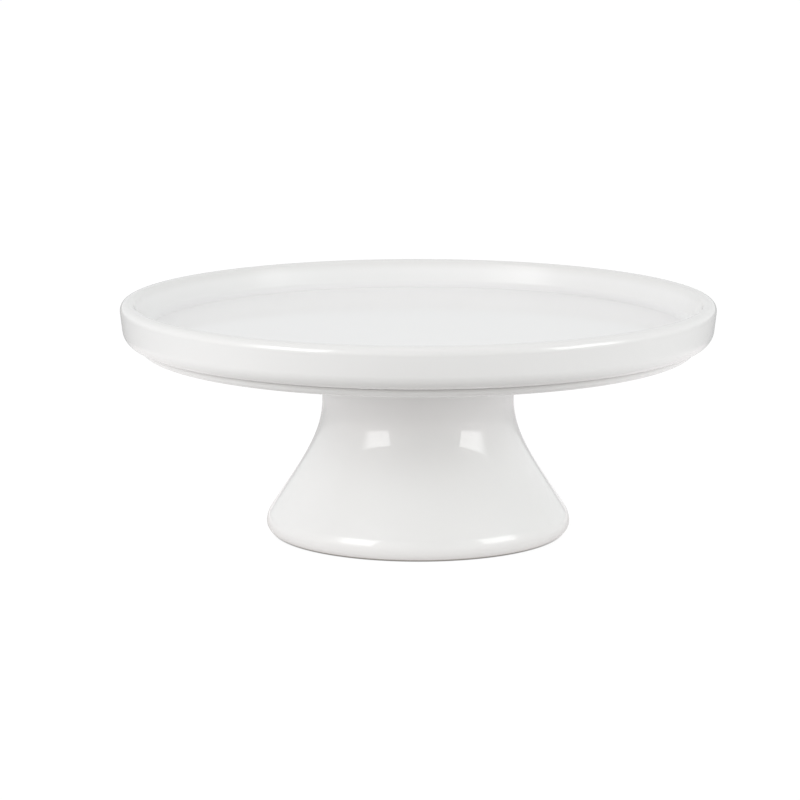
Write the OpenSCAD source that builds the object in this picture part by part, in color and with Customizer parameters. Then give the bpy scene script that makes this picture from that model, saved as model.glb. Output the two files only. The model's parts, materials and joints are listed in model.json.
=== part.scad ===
// Footed cake stand in white glazed stoneware: a flat plate with a raised rim,
// joined by a seam of slip to a hollow, flared pedestal. Millimetres, +Z up.
// The origin is on the table, at the centre of the foot.

/* [Overall] */
// Diameter of the plate at its widest, just under the lip
plate_d = 304.8; // [260:0.1:370]
// Height of the lip above the table
stand_h = 120.65; // [100:0.05:150]

/* [Plate] */
// Depth of the plate, from the lip down to its flat underside
plate_depth = 21.7; // [18:0.1:27]
// Thickness of the plate's floor, where the cake stands
floor_t = 7.5; // [5:0.1:10]
// Rounding of the lip on the outside
lip_out_r = 4.2; // [3:0.1:5.5]
// Rounding of the lip on the inside
lip_in_r = 3; // [2:0.1:4]
// Lean of the rim's outside, inwards on the way down
rim_taper = 6.5; // [0:0.5:12]
// Slope of the rim's inside, off the vertical
well_slope = 20; // [5:1:30]
// Radius of the cove between the rim's inside and the floor
cove_r = 5; // [2:0.1:6]
// Radius of the heel, where the rim's outside turns under
heel_r = 8.5; // [5:0.1:10]

/* [Ring under the plate] */
// How far the stiffening ring stands below the plate's underside
ring_h = 4.7; // [2:0.1:5.5]
// Flat between the heel and the ring, the floor of the groove
groove_w = 0.3; // [0.1:0.1:3]
// Rounding of the ring's outer edge
ring_edge_r = 5.5; // [5.5:0.1:8]
// Width of the ring's flat bottom
ring_land = 6; // [2:0.5:16]
// Steepest slope of the ring's inner side, off the horizontal
ring_slope = 60; // [30:5:80]

/* [Pedestal] */
// Outside diameter of the straight neck
neck_d = 98.8; // [80:0.1:130]
// Wall of the neck
neck_wall = 6; // [4:0.1:9]
// Height above the table at which the neck starts to flare
flare_top = 69; // [50:0.1:74]
// How long the flare keeps to the vertical under the neck
flare_pull_top = 20; // [5:0.5:30]
// How long the flare keeps to its slope above the foot
flare_pull_foot = 26.5; // [5:0.5:30]
// Slope of the flare at the foot, off the vertical
flare_angle = 32; // [15:1:40]
// Diameter of the foot at its widest
foot_d = 156.6; // [130:0.1:200]
// Rounding of the foot's outer edge
foot_edge_r = 6.7; // [4:0.1:8]
// Width of the unglazed ring that the stand rests on
foot_land = 3.5; // [2:0.1:6]
// Rounding of the foot's inner edge
foot_in_r = 2.5; // [1:0.1:4]
// How long the inside keeps to the vertical under the neck
bore_pull_top = 18; // [5:0.5:30]
// How long the inside keeps to the vertical above the foot
bore_pull_foot = 14; // [5:0.5:25]

/* [Slip joint] */
// Thickness of the slip between the neck and the plate
slip_t = 0.8; // [0.4:0.1:2]
// Radius of the smoothed slip outside the neck
slip_out_r = 3; // [1:0.1:6]
// Radius of the smoothed slip inside the neck
slip_in_r = 2.5; // [1:0.1:5]
// Thickness at which the smoothed slip runs out
slip_edge_t = 0.2; // [0.1:0.05:0.5]

/* [Hidden] */
$fn = 180;
arc_steps = 12;
flare_steps = 28;

plate_r = plate_d / 2;
neck_r = neck_d / 2;
bore_r = neck_r - neck_wall;
plate_z = stand_h - plate_depth;
neck_top = plate_z - slip_t;

// --- curves -----------------------------------------------------------------

// Points of a round stretch, from angle a0 to angle a1 about centre c
function arc(c, r, a0, a1, n = arc_steps) =
    [for (i = [0:n]) let (a = a0 + (a1 - a0) * i / n) c + r * [cos(a), sin(a)]];

// One point of a cubic curve with the four control points p
function cubic(p, t) =
    pow(1 - t, 3) * p[0] + 3 * pow(1 - t, 2) * t * p[1]
    + 3 * (1 - t) * pow(t, 2) * p[2] + pow(t, 3) * p[3];

// Points of a cubic curve, both ends included
function sweep(p, n = flare_steps) = [for (i = [0:n]) cubic(p, i / n)];

// The same points the other way round
function reversed(points) = [for (i = [len(points) - 1:-1:0]) points[i]];

// All the points but the last, where the next stretch starts on it
function open_end(points) = [for (i = [0:len(points) - 2]) points[i]];

// --- plate ------------------------------------------------------------------

// The plate's section is drawn with its flat underside at height 0.
crest_r = plate_r - lip_out_r;
lip_out_c = [crest_r, plate_depth - lip_out_r];
lip_in_c = [crest_r, plate_depth - lip_in_r];

// The rim's outside is the straight line that touches the lip and the heel
rim_normal = [cos(rim_taper), -sin(rim_taper)];
heel_c = [
    (rim_normal * lip_out_c + lip_out_r - heel_r + sin(rim_taper) * heel_r) / cos(rim_taper),
    heel_r
];

// The rim's inside is the straight line that touches the lip and the cove
well_normal = [-cos(well_slope), sin(well_slope)];
cove_z = floor_t + cove_r;
cove_c = [
    (sin(well_slope) * cove_z - well_normal * lip_in_c - lip_in_r - cove_r) / cos(well_slope),
    cove_z
];

// The ring starts at the groove and rounds over into its flat bottom
ring_r = heel_c[0] - groove_w;
ring_edge_a = asin(1 - ring_h / ring_edge_r);
ring_edge_c = [ring_r - ring_edge_r * cos(ring_edge_a), ring_edge_r - ring_h];

// Its inner side is an even double curve back up to the underside
ring_side_r = ring_h / 2 / (1 - cos(ring_slope));
ring_in_c = [ring_edge_c[0] - ring_land, ring_side_r - ring_h];
ring_fillet_c = ring_in_c - 2 * ring_side_r * [sin(ring_slope), cos(ring_slope)];

function ring_section() = concat(
    arc(ring_fillet_c, ring_side_r, 90, 90 - ring_slope),
    arc(ring_in_c, ring_side_r, -90 - ring_slope, -90),
    arc(ring_edge_c, ring_edge_r, -90, -ring_edge_a)
);

function plate_section() = concat(
    [[0, 0]],
    ring_section(),
    arc(heel_c, heel_r, -90, -rim_taper),
    arc(lip_out_c, lip_out_r, -rim_taper, 90),
    arc(lip_in_c, lip_in_r, 90, 180 - well_slope),
    arc(cove_c, cove_r, -well_slope, -90),
    [[0, floor_t]]
);

module plate() {
    color([0.95, 0.95, 0.94])
        translate([0, 0, plate_z])
            rotate_extrude()
                polygon(plate_section());
}

// --- pedestal ---------------------------------------------------------------

foot_edge_c = [foot_d / 2 - foot_edge_r, foot_edge_r];
foot_in_c = [foot_edge_c[0] - foot_land, foot_in_r];

// Outside: straight neck, flare, rounded foot
flare_foot = foot_edge_c + foot_edge_r * [cos(flare_angle), sin(flare_angle)];
flare_curve = [
    [neck_r, flare_top],
    [neck_r, flare_top - flare_pull_top],
    flare_foot + flare_pull_foot * [-sin(flare_angle), cos(flare_angle)],
    flare_foot
];

// Inside: straight bore, opening out to the foot's inner edge
bore_foot = foot_in_c - [foot_in_r, 0];
bore_curve = [
    [bore_r, flare_top],
    [bore_r, flare_top - bore_pull_top],
    bore_foot + [0, bore_pull_foot],
    bore_foot
];

function pedestal_section() = concat(
    [[neck_r, neck_top]],
    open_end(sweep(flare_curve)),
    arc(foot_edge_c, foot_edge_r, flare_angle, -90),
    open_end(arc(foot_in_c, foot_in_r, -90, -180)),
    reversed(sweep(bore_curve)),
    [[bore_r, neck_top]]
);

module pedestal() {
    color([0.94, 0.93, 0.92])
        rotate_extrude()
            polygon(pedestal_section());
}

// --- slip joint -------------------------------------------------------------

// Slip squeezed out of the seam and smoothed with a finger, on the side of
// the neck given by side: 1 outside, -1 inside
function smoothed_slip(wall_r, r, side) =
    let (c = [wall_r + side * (slip_edge_t + r), plate_z - slip_edge_t - r])
    concat(
        [[wall_r, c[1]]],
        [for (p = arc([0, 0], r, 180, 90)) c + [side * p[0], p[1]]],
        [[c[0], plate_z]]
    );

function slip_section() = concat(
    [[bore_r, neck_top], [neck_r, neck_top]],
    smoothed_slip(neck_r, slip_out_r, 1),
    reversed(smoothed_slip(bore_r, slip_in_r, -1))
);

module slip_joint() {
    color([0.90, 0.88, 0.85])
        rotate_extrude()
            polygon(slip_section());
}

plate();
slip_joint();
pedestal();
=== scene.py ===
import json
import math

import bmesh
import bpy
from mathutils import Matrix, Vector, geometry, noise


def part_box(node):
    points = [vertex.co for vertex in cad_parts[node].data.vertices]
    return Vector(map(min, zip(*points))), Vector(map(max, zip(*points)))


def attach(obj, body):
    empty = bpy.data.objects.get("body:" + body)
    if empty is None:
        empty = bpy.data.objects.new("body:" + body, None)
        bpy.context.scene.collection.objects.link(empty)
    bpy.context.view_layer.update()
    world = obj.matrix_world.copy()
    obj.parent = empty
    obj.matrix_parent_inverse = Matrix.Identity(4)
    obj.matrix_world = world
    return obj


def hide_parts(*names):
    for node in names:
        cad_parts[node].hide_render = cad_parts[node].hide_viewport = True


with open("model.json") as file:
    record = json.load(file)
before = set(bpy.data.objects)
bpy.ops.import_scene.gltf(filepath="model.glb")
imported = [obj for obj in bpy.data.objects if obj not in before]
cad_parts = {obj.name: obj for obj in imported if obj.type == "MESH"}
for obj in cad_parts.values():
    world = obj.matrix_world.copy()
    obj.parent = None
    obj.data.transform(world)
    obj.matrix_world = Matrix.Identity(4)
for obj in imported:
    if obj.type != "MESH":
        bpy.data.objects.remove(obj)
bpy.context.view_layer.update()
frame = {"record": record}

MM = 0.001
HAIR = 0.01 * MM
QUARTER = math.pi / 2.0

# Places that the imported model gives
PLATE_LOW, PLATE_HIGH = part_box("plate")
PED_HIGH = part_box("pedestal")[1]
SEAM_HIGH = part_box("slip_joint")[1]
LIP_Z = PLATE_HIGH.z
RIM_R = PLATE_HIGH.x - HAIR
RING_Z = PLATE_LOW.z
UNDERSIDE_Z = SEAM_HIGH.z
NECK_TOP_Z = PED_HIGH.z
FOOT_R = PED_HIGH.x - HAIR
MOUNTS = {mount["name"]: mount for mount in frame["record"]["mounts"]}
FLOOR_Z = MOUNTS["cake_surface"]["pos_m"][2]

# Turned sizes of the plate
LIP_OUT_R = 4.2 * MM
LIP_IN_R = 2.9 * MM
LIP_FLAT = 0.1 * MM
HEEL_R = 8.5 * MM
COVE_R = 5.0 * MM
RIM_TAPER = math.radians(6.5)
WELL_SLOPE = math.radians(20.0)
GROOVE_W = 0.1 * MM
GROOVE_FILL_R = 0.35 * MM
RING_EDGE_R = 5.4 * MM
RING_LAND = 6.0 * MM
RING_INSIDE_R = 4.6 * MM
RING_INSIDE_SLOPE = math.radians(60.0)

# Turned sizes of the pedestal
NECK_R = 49.4 * MM
BORE_R = 43.4 * MM
WALL_MIDDLE_R = (NECK_R + BORE_R) / 2.0
FLARE_TOP_Z = 69.0 * MM
FLARE_ANGLE = math.radians(32.0)
FLARE_PULL_TOP = 20.0 * MM
FLARE_PULL_FOOT = 26.5 * MM
FOOT_EDGE_R = 6.7 * MM
FOOT_SHOULDER_R = 10.0 * MM

# The foot's two rolls stop a hair short of each other and of the flare
FLARE_SHARE = 1.001
UNDERNEATH_SHARE = 0.998

FLARE_CUTS = 40
FOOT_IN_R = 2.5 * MM
FOOT_LAND = 3.5 * MM
BORE_PULL_TOP = 18.0 * MM
BORE_PULL_FOOT = 14.0 * MM

# Body colours, linear; the lip's, the groove's and part of the bare foot's are painted shade
GLAZE_LIGHT = (0.878, 0.878, 0.876, 1.0)
GLAZE_DEEP = (0.862, 0.860, 0.855, 1.0)
SEAM_LIGHT = (0.86, 0.85, 0.83, 1.0)
SEAM_DEEP = (0.83, 0.82, 0.80, 1.0)
# The lip's colour is painted shade: darker over the top of the lip, to dull the light that falls on it
LIP_PAINTED_SHADE = (0.73, 0.725, 0.71, 1.0)
# Painted shade in the groove between heel and ring, and up the heel beside it
GROOVE_PAINTED_SHADE = (0.46, 0.44, 0.42, 1.0)
PINHOLE = (0.55, 0.50, 0.43, 1.0)
# The foot's bare ring: unglazed clay, made dark enough to also paint the shade where the foot meets
# the floor
BARE_CLAY_AND_SHADE = (0.46, 0.43, 0.39, 1.0)

# The smoothed slip round the top of the neck
SLIP_OUT_R = 3.0 * MM
SLIP_IN_R = 2.5 * MM
SLIP_EDGE = 0.05 * MM
SLIP_SPREAD = 1.02

# The camera
LENS_MM = 149.17
SENSOR_MM = 36.0
CAMERA_PLACE = (-0.0093, -1.679, 0.3737)
CAMERA_DIP = math.radians(10.319)

# The studio: soft boxes, and the light of the room and the floor, linear
SOFTBOX_SIZE = (0.80, 0.95)
SOFTBOX_AWAY = 1.3
SOFTBOX_AIM = Vector((0.0, 0.0, 0.07))
SOFTBOX_ELEVATION = 26.0
SIDE_FADE = 0.4
LOW_FADE = 0.12
LEFT_TOP_FADE = (0.55, 0.9)
RIGHT_TOP_FADE = (0.45, 0.78)
ROOM_LOW_LEFT = (1.04, 1.00, 0.97, 1.0)
ROOM_LOW_CAMERA = (0.74, 0.72, 0.71, 1.0)
ROOM_LOW_RIGHT = (1.05, 1.02, 1.01, 1.0)
ROOM_MIDDLE_LEFT = (0.84, 0.86, 0.85, 1.0)
ROOM_MIDDLE_RIGHT = (0.46, 0.52, 0.49, 1.0)
ROOM_HIGH = (0.50, 0.48, 0.49, 1.0)
ROOM_BACK = (0.86, 0.87, 0.87, 1.0)
ROOM_CEILING = (0.90, 0.88, 0.90, 1.0)
FLOOR_SPREAD = 12.0
FLOOR_FRONT = (0.10, 0.09, 0.08, 1.0)
FLOOR_SIDE = (0.50, 0.495, 0.49, 1.0)
FLOOR_BACK = (0.60, 0.58, 0.58, 1.0)
FLOOR_OPEN = (0.15, 0.15, 0.15, 1.0)
FLOOR_WHITE = (0.95, 0.95, 0.95, 1.0)
SHADE_FROM = 5.0 * MM
SHADE_TO = 2.5 * MM
FLOOR_CLOTH = (0.4, 0.4, 0.4, 1.0)
FLOOR_CLOTH_SEEN = (0.08, 0.08, 0.08, 1.0)
FLOOR_SHADE = (0.12, 0.12, 0.12, 1.0)
FLOOR_UNDER = (0.37, 0.35, 0.345, 1.0)

# How the meshes are turned
SPIN_STEPS = 256
MERGE = 0.001 * MM
WAVES_PER_M = 19.0
WAVE_DEPTH = 0.14 * MM


# --- turned pieces ------------------------------------------------------------

def rolled_reach(corner, turn):
    """How far a rolled corner reaches along the two lines that meet in it."""
    return corner * math.tan(turn / 2.0)


def plain(points):
    """Outline points with no rolled corner."""
    return [(r, z, 0.0, 0) for r, z in points]


def between(start, end, count):
    """Points on a straight line, both ends included."""
    start, end = Vector(start), Vector(end)
    return [tuple(start.lerp(end, i / count)) for i in range(count + 1)]


def roll_corner(bm, point, before, after, corner, cuts):
    """Bevels one hoop of edges so that the wall rounds off at the corner radius."""
    reach = rolled_reach(corner, (point - before).angle(after - point))

    def on_hoop(vert):
        return abs(vert.co.xy.length - point.x) < HAIR and abs(vert.co.z - point.y) < HAIR

    hoop = [edge for edge in bm.edges if all(on_hoop(vert) for vert in edge.verts)]
    bmesh.ops.bevel(
        bm, geom=hoop, offset=reach, offset_type="OFFSET", segments=cuts,
        profile=0.5, affect="EDGES", material=-1,
    )


def turned(outline, ring_shaped=False):
    """Spins an outline of (radius, height, corner radius, cuts) about the axis.

    Each corner with a radius is then rolled round with a bevel of that many cuts."""
    bm = bmesh.new()
    path = outline + outline[:1] if ring_shaped else outline
    line = [bm.verts.new((r, 0.0, z)) for r, z, corner, cuts in path]
    edges = [bm.edges.new(pair) for pair in zip(line, line[1:])]
    bmesh.ops.spin(
        bm, geom=line + edges, axis=(0, 0, 1), cent=(0, 0, 0),
        angle=math.tau, steps=SPIN_STEPS, use_merge=True,
    )
    bmesh.ops.remove_doubles(bm, verts=bm.verts, dist=MERGE)
    bmesh.ops.recalc_face_normals(bm, faces=bm.faces)
    for i, (r, z, corner, cuts) in enumerate(outline):
        if corner > 0.0:
            before = Vector(outline[i - 1][:2])
            after = Vector(outline[(i + 1) % len(outline)][:2])
            roll_corner(bm, Vector((r, z)), before, after, corner, cuts)
    return bm


def hand_finish(bm):
    """Draws the wall in by a few hundredths of a millimetre here and there, in slow waves.

    Every piece follows the same waves, so pieces that touch still touch."""
    for vert in bm.verts:
        radius = vert.co.xy.length
        if radius > MERGE:
            swell = 0.5 + 0.5 * noise.noise(vert.co * WAVES_PER_M)
            vert.co.xy *= 1.0 - WAVE_DEPTH * min(max(swell, 0.0), 1.0) / radius


def glazed_piece(bm, name, material, node):
    """Makes a turned mesh into the smooth piece that stands for a CAD node."""
    hand_finish(bm)
    bmesh.ops.remove_doubles(bm, verts=bm.verts, dist=MERGE)
    bmesh.ops.recalc_face_normals(bm, faces=bm.faces)
    for face in bm.faces:
        face.smooth = True
    mesh = bpy.data.meshes.new(name)
    bm.to_mesh(mesh)
    bm.free()
    mesh.materials.append(material)
    piece = bpy.data.objects.new(name, mesh)
    bpy.context.scene.collection.objects.link(piece)
    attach(piece, "root")
    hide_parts(node)


# --- plate --------------------------------------------------------------------

CREST_R = RIM_R - LIP_OUT_R
LIP_OUT_CORNER_R = CREST_R + rolled_reach(LIP_OUT_R, QUARTER + RIM_TAPER)
LIP_IN_CORNER_R = CREST_R - LIP_FLAT - rolled_reach(LIP_IN_R, QUARTER - WELL_SLOPE)
COVE_CORNER_R = LIP_IN_CORNER_R - (LIP_Z - FLOOR_Z) * math.tan(WELL_SLOPE)
HEEL_CORNER_R = LIP_OUT_CORNER_R - (LIP_Z - UNDERSIDE_Z) * math.tan(RIM_TAPER)
GROOVE_R = HEEL_CORNER_R - rolled_reach(HEEL_R, QUARTER - RIM_TAPER) - GROOVE_W


def plate_outline():
    """From the middle of the underside out over ring, heel, lip and cove to the floor's middle."""
    ring_h = UNDERSIDE_Z - RING_Z
    edge_turn = QUARTER - math.asin(1.0 - ring_h / RING_EDGE_R)
    edge_reach = rolled_reach(RING_EDGE_R, edge_turn)
    ring_out_r = GROOVE_R - ring_h / math.tan(edge_turn)
    inside_reach = rolled_reach(RING_INSIDE_R, RING_INSIDE_SLOPE)
    ring_in_r = ring_out_r - edge_reach - RING_LAND - inside_reach
    recess_r = ring_in_r - ring_h / math.tan(RING_INSIDE_SLOPE)
    under = between((0.0, UNDERSIDE_Z), (recess_r, UNDERSIDE_Z), 12)[:-1]
    floor = between((COVE_CORNER_R, FLOOR_Z), (0.0, FLOOR_Z), 14)[1:]
    return plain(under) + [
        (recess_r, UNDERSIDE_Z, RING_INSIDE_R, 6),
        (ring_in_r, RING_Z, RING_INSIDE_R, 6),
        (ring_out_r, RING_Z, RING_EDGE_R, 10),
        (GROOVE_R, UNDERSIDE_Z, GROOVE_FILL_R, 3),
        (HEEL_CORNER_R, UNDERSIDE_Z, HEEL_R, 14),
        (LIP_OUT_CORNER_R, LIP_Z, LIP_OUT_R, 14),
        (LIP_IN_CORNER_R, LIP_Z, LIP_IN_R, 12),
        (COVE_CORNER_R, FLOOR_Z, COVE_R, 10),
    ] + plain(floor)


# --- pedestal -----------------------------------------------------------------

def pedestal_outline():
    """Neck, flare, a rolled shoulder, a rolled lower edge, the foot's ring and the bore."""
    foot_edge = Vector((FOOT_R - FOOT_EDGE_R, FOOT_EDGE_R))
    slope = Vector((math.sin(FLARE_ANGLE), -math.cos(FLARE_ANGLE)))
    outwards = Vector((math.cos(FLARE_ANGLE), math.sin(FLARE_ANGLE)))
    flare_end = foot_edge + FOOT_EDGE_R * outwards
    shoulder = flare_end + slope * ((FOOT_R - flare_end.x) / slope.x)
    shoulder_reach = rolled_reach(FOOT_SHOULDER_R, FLARE_ANGLE)
    flare_foot = shoulder - slope * shoulder_reach * FLARE_SHARE
    underneath_r = (shoulder.y - shoulder_reach) * UNDERNEATH_SHARE
    bore_foot = Vector((foot_edge.x - FOOT_LAND - FOOT_IN_R, FOOT_IN_R))
    flare = geometry.interpolate_bezier(
        (NECK_R, FLARE_TOP_Z), (NECK_R, FLARE_TOP_Z - FLARE_PULL_TOP),
        flare_foot - slope * FLARE_PULL_FOOT, flare_foot, FLARE_CUTS,
    )
    bore = geometry.interpolate_bezier(
        bore_foot, bore_foot + Vector((0.0, BORE_PULL_FOOT)),
        (BORE_R, FLARE_TOP_Z - BORE_PULL_TOP), (BORE_R, FLARE_TOP_Z), FLARE_CUTS,
    )
    neck = between((NECK_R, NECK_TOP_Z), (NECK_R, FLARE_TOP_Z), 8)[:-1]
    throat = between((BORE_R, FLARE_TOP_Z), (BORE_R, NECK_TOP_Z), 8)[1:]
    return (
        plain([(WALL_MIDDLE_R, NECK_TOP_Z)] + neck + [tuple(p[:2]) for p in flare])
        + [(FOOT_R, shoulder.y, FOOT_SHOULDER_R, 12), (FOOT_R, 0.0, underneath_r, 14)]
        + [(bore_foot.x, 0.0, FOOT_IN_R, 8)]
        + plain([tuple(p[:2]) for p in bore] + throat)
    )


# --- seam of slip -------------------------------------------------------------

def seam_outline():
    """The slip on the neck's top, with a hollow fillet outside and inside the wall."""
    neck_side = NECK_R + SLIP_EDGE
    bore_side = BORE_R - SLIP_EDGE
    under = UNDERSIDE_Z - SLIP_EDGE
    out_r = neck_side + SLIP_OUT_R * SLIP_SPREAD
    in_r = bore_side - SLIP_IN_R * SLIP_SPREAD
    out_z = under - SLIP_OUT_R * SLIP_SPREAD
    in_z = under - SLIP_IN_R * SLIP_SPREAD
    return (
        plain([(WALL_MIDDLE_R, NECK_TOP_Z), (NECK_R, NECK_TOP_Z)])
        + plain([(NECK_R, out_z), (neck_side, out_z)])
        + [(neck_side, under, SLIP_OUT_R, 10)]
        + plain([(out_r, under), (out_r, UNDERSIDE_Z), (in_r, UNDERSIDE_Z), (in_r, under)])
        + [(bore_side, under, SLIP_IN_R, 10)]
        + plain([(bore_side, in_z), (BORE_R, in_z), (BORE_R, NECK_TOP_Z)])
    )


# --- shader maths -------------------------------------------------------------

class Wire:
    """A socket that Python's arithmetic works on: each sum adds its Math node."""

    def __init__(self, finish, socket):
        self.finish = finish
        self.socket = socket

    def maths(self, operation, *values):
        return self.finish.add("ShaderNodeMath", {"operation": operation}, values)

    def __add__(self, other):
        return self.maths("ADD", self, other)

    def __sub__(self, other):
        return self.maths("SUBTRACT", self, other)

    def __rsub__(self, other):
        return self.maths("SUBTRACT", other, self)

    def __mul__(self, other):
        return self.maths("MULTIPLY", self, other)

    def __pow__(self, other):
        return self.maths("POWER", self, other)

    __radd__ = __add__
    __rmul__ = __mul__


class Finish:
    """A node tree, and the one method that adds a node to it."""

    def __init__(self, owner):
        self.owner = owner
        owner.use_nodes = True
        self.tree = owner.node_tree
        self.tree.nodes.clear()

    def add(self, kind, settings=None, sockets=(), out=0):
        node = self.tree.nodes.new(kind)
        for name, value in (settings or {}).items():
            setattr(node, name, value)
        named = sockets.items() if isinstance(sockets, dict) else enumerate(sockets)
        for key, value in named:
            if isinstance(value, Wire):
                self.tree.links.new(value.socket, node.inputs[key])
            else:
                node.inputs[key].default_value = value
        return Wire(self, node.outputs[out]) if node.outputs else node

    def axes(self, vector):
        """The three parts of a vector."""
        split = self.add("ShaderNodeSeparateXYZ", None, (vector,))
        return [Wire(self, socket) for socket in split.socket.node.outputs]

    def step(self, value, start, end):
        """0 before start, 1 after end, and smooth between them."""
        smooth = {"interpolation_type": "SMOOTHSTEP"}
        return self.add("ShaderNodeMapRange", smooth, (value, start, end, 0.0, 1.0))

    def tint(self, factor, base, tinted):
        """A colour that goes from base to tinted as the factor goes from 0 to 1."""
        return self.add("ShaderNodeMix", {"data_type": "RGBA"}, {0: factor, 6: base, 7: tinted}, out=2)


# --- glaze --------------------------------------------------------------------

def white_glaze(name, body_light, body_deep):
    """Clear gloss over a white body, with painted shade in the groove under the rim and over the lip's
    top; wiped off the foot's ring, whose bare clay is dark enough to paint the shade along the foot's
    contact too; with turning ridges inside the pedestal."""
    finish = Finish(bpy.data.materials.new(name))
    place = finish.add("ShaderNodeTexCoord", out=3)
    x, y, z = finish.axes(place)
    radius = (x * x + y * y) ** 0.5

    def near_hoop(r, height, width):
        """1 on a hoop about the axis and 0 from width away."""
        away = ((radius - r) ** 2.0 + (z - height) ** 2.0) ** 0.5
        return 1.0 - finish.step(away, 0.0, width)

    def mottle(scale, detail):
        sockets = {"Vector": place, "Scale": scale, "Detail": detail}
        return finish.add("ShaderNodeTexNoise", None, sockets)

    def pinholes(scale, size):
        """1 in a few round pinholes, 0 elsewhere."""
        sockets = {"Vector": place, "Scale": scale}
        spot = finish.add("ShaderNodeTexVoronoi", None, sockets)
        chosen = finish.add("ShaderNodeTexVoronoi", None, sockets, out=1)
        lucky = finish.add("ShaderNodeSeparateColor", None, (chosen,))
        return (1.0 - finish.step(spot, 0.0, size)) * finish.step(lucky, 0.86, 0.88)

    def rings(across, pitch):
        """Shallow ridges that a turning tool leaves, one every pitch."""
        return (across * (math.tau / pitch) + mottle(8.0, 0.0) * 2.0).maths("SINE") * 0.5

    # Painted shade: a dark hoop in the groove under the rim, leaning onto the heel
    groove_shade = near_hoop(GROOVE_R + 0.6 * MM, UNDERSIDE_Z, 3.0 * MM)
    # Painted shade over the lip's top
    lip_shade = near_hoop(CREST_R, LIP_Z - 1.5 * MM, 6.0 * MM)
    bare = 1.0 - finish.step(z, 0.75 * MM, 1.05 * MM)
    pits = pinholes(55.0, 0.014)
    normal_x, normal_y, _ = finish.axes(finish.add("ShaderNodeTexCoord", out=1))
    facing_out = (normal_x * x + normal_y * y) * (radius + MM) ** -1.0
    hollow = 1.0 - finish.step(facing_out, -0.4, -0.1)
    hollow = hollow * (1.0 - finish.step(z, UNDERSIDE_Z - 4.0 * MM, UNDERSIDE_Z))

    body = finish.tint(mottle(22.0, 3.0), body_light, body_deep)
    body = finish.tint(lip_shade * 0.85, body, LIP_PAINTED_SHADE)
    body = finish.tint(groove_shade * 0.5, body, GROOVE_PAINTED_SHADE)
    body = finish.tint(pits * 0.5, body, PINHOLE)
    # Bare clay on the foot's ring, its darkness partly painted shade at the contact
    body = finish.tint(bare, body, BARE_CLAY_AND_SHADE)

    grain = mottle(900.0, 2.0)
    relief = mottle(40.0, 1.0) * 0.03 + mottle(170.0, 1.0) * 0.004 + grain * 0.001
    relief = relief + hollow * rings(z, 2.7 * MM) * 0.05 - pits * 0.03 + bare * grain * 0.04
    bump = finish.add("ShaderNodeBump", None, {"Strength": 1.0, "Distance": MM, "Height": relief})
    surface = finish.add("ShaderNodeBsdfPrincipled", None, {
        "Base Color": body,
        "Roughness": 0.42 + mottle(30.0, 4.0) * 0.06 + bare * 0.4,
        "IOR": 1.5,
        "Coat Weight": 1.0 - bare,
        "Coat Roughness": 0.05,
        "Coat IOR": 1.5,
        "Normal": bump,
    })
    finish.add("ShaderNodeOutputMaterial", None, {"Surface": surface})
    return finish.owner


# --- studio -------------------------------------------------------------------

def make_camera():
    """A long lens a little above the plate, looking slightly down on it."""
    lens = bpy.data.cameras.new("studio_camera")
    lens.lens = LENS_MM
    lens.sensor_width = SENSOR_MM
    camera = bpy.data.objects.new("studio_camera", lens)
    camera.location = CAMERA_PLACE
    camera.rotation_euler = (QUARTER - CAMERA_DIP, 0.0, 0.0)
    bpy.context.scene.collection.objects.link(camera)
    bpy.context.scene.camera = camera


def softbox(name, azimuth, power, top_fade, fades_right):
    """A soft light aimed at the stand, fading at one side; azimuth 0 is the camera's side."""
    a, e = math.radians(azimuth), math.radians(SOFTBOX_ELEVATION)
    away = Vector((math.sin(a) * math.cos(e), -math.cos(a) * math.cos(e), math.sin(e)))
    light = bpy.data.lights.new(name, "AREA")
    light.shape = "RECTANGLE"
    light.size, light.size_y = SOFTBOX_SIZE
    light.energy = power

    cloth = Finish(light)
    across, up, _ = cloth.axes(cloth.add("ShaderNodeTexCoord", out=2))
    inwards = 1.0 - across if fades_right else across
    glow = cloth.step(inwards, 0.0, SIDE_FADE) * cloth.step(up, 0.0, LOW_FADE)
    glow = glow * (1.0 - cloth.step(up, *top_fade))
    shine = cloth.add("ShaderNodeEmission", None, {"Strength": glow})
    cloth.add("ShaderNodeOutputLight", None, {"Surface": shine})

    lamp = bpy.data.objects.new(name, light)
    lamp.location = SOFTBOX_AIM + away * SOFTBOX_AWAY
    lamp.rotation_euler = away.to_track_quat("Z", "Y").to_euler()
    bpy.context.scene.collection.objects.link(lamp)


def make_room():
    """Pale surroundings: bright behind and low at the sides, dimmer high up in front."""
    world = Finish(bpy.data.worlds.new("pale_room"))
    bpy.context.scene.world = world.owner
    x, y, z = world.axes(world.add("ShaderNodeTexCoord"))
    right = world.step(x, -0.4, 0.4)
    low = world.tint(right, ROOM_LOW_LEFT, ROOM_LOW_RIGHT)
    camera_side = 1.0 - world.step(((x - 0.12) ** 2.0) ** 0.5, 0.15, 0.6)
    low = world.tint(camera_side, low, ROOM_LOW_CAMERA)
    middle = world.tint(right, ROOM_MIDDLE_LEFT, ROOM_MIDDLE_RIGHT)
    front = world.tint(world.step(z, 0.15, 0.35), low, middle)
    front = world.tint(world.step(z, 0.5, 0.7), front, ROOM_HIGH)
    room = world.tint(world.step(y, -0.3, 0.3), front, ROOM_BACK)
    room = world.tint(world.step(z, 0.75, 0.95), room, ROOM_CEILING)
    glow = world.add("ShaderNodeBackground", None, {"Color": room, "Strength": 1.0})
    world.add("ShaderNodeOutputWorld", None, {"Surface": glow})


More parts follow.
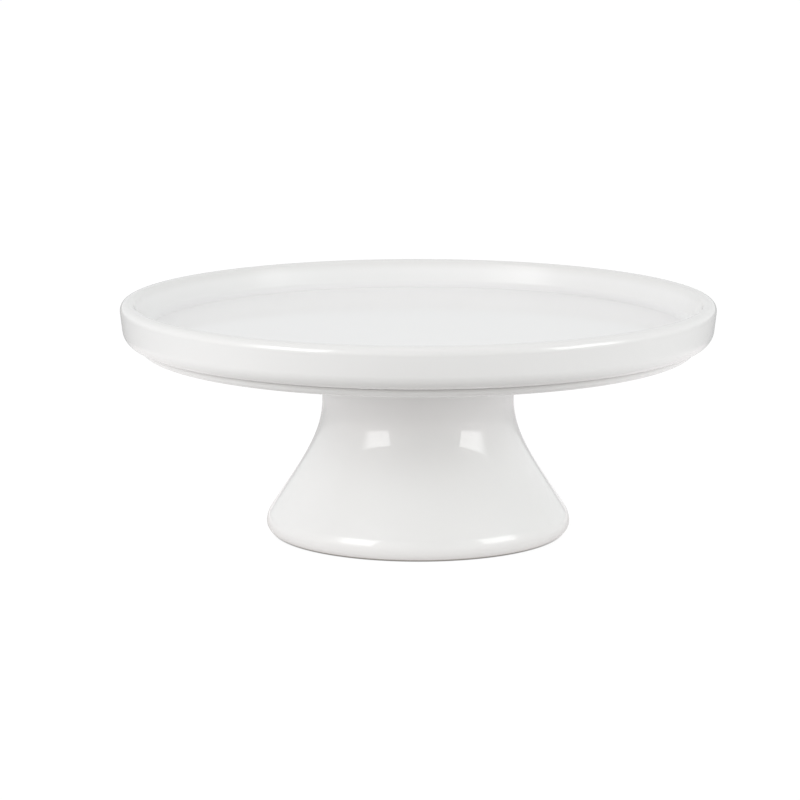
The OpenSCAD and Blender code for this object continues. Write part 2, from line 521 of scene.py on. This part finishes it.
def make_floor():
    """A wide floor: plain white to look at, and grey in the light it throws up on the stand.

    A thin dark line of shade lies round the foot, where the foot's edge rolls off the floor."""
    disc = bmesh.new()
    bmesh.ops.create_circle(disc, cap_ends=True, segments=96, radius=FLOOR_SPREAD)
    mesh = bpy.data.meshes.new("studio_floor")
    disc.to_mesh(mesh)
    disc.free()
    floor = bpy.data.objects.new("studio_floor", mesh)
    bpy.context.scene.collection.objects.link(floor)

    card = Finish(bpy.data.materials.new("white_floor"))
    x, y, z = card.axes(card.add("ShaderNodeTexCoord", out=3))
    radius = (x * x + y * y) ** 0.5
    open_floor = card.step(radius, 0.3, 0.5)
    # The glow is painted light and shade: a dark strip in front, where the plate shades the floor, a
    # dimmer patch right round the foot, brighter at the sides and behind, and faint far out
    aside = card.step((x * x) ** 0.5, 0.04, 0.25)
    glow = card.tint(aside, FLOOR_FRONT, FLOOR_SIDE)
    glow = card.tint(card.step(y, -0.1, 0.05), glow, FLOOR_BACK)
    glow = card.tint(open_floor, glow, FLOOR_OPEN)
    glow = card.tint(card.step(radius, 0.09, 0.16), FLOOR_UNDER, glow)
    lit = card.step(radius, FOOT_R - SHADE_FROM, FOOT_R - SHADE_TO)
    plain_white = card.tint(lit, FLOOR_SHADE, FLOOR_WHITE)
    seen = card.add("ShaderNodeLightPath")
    surface = card.add("ShaderNodeBsdfPrincipled", None, {
        "Base Color": card.tint(seen, FLOOR_CLOTH, FLOOR_CLOTH_SEEN),
        "Roughness": 0.9,
        "Specular IOR Level": 0.0,
        "Emission Color": card.tint(seen, glow, plain_white),
        "Emission Strength": 1.0,
    })
    card.add("ShaderNodeOutputMaterial", None, {"Surface": surface})
    mesh.materials.append(card.owner)


def make_studio():
    """The room, the floor and the two soft boxes."""
    make_room()
    make_floor()
    softbox("softbox_left", -51.0, 9.2, LEFT_TOP_FADE, False)
    softbox("softbox_right", 67.0, 9.6, RIGHT_TOP_FADE, True)
    bpy.context.scene.view_settings.view_transform = "Standard"


def main():
    """Camera first, then the stand's three pieces, then the studio round them."""
    make_camera()
    glaze = white_glaze("white_glaze", GLAZE_LIGHT, GLAZE_DEEP)
    seam_glaze = white_glaze("seam_glaze", SEAM_LIGHT, SEAM_DEEP)
    glazed_piece(turned(plate_outline()), "glazed_plate", glaze, "plate")
    glazed_piece(turned(pedestal_outline(), True), "glazed_pedestal", glaze, "pedestal")
    glazed_piece(turned(seam_outline(), True), "glazed_seam", seam_glaze, "slip_joint")
    make_studio()


main()
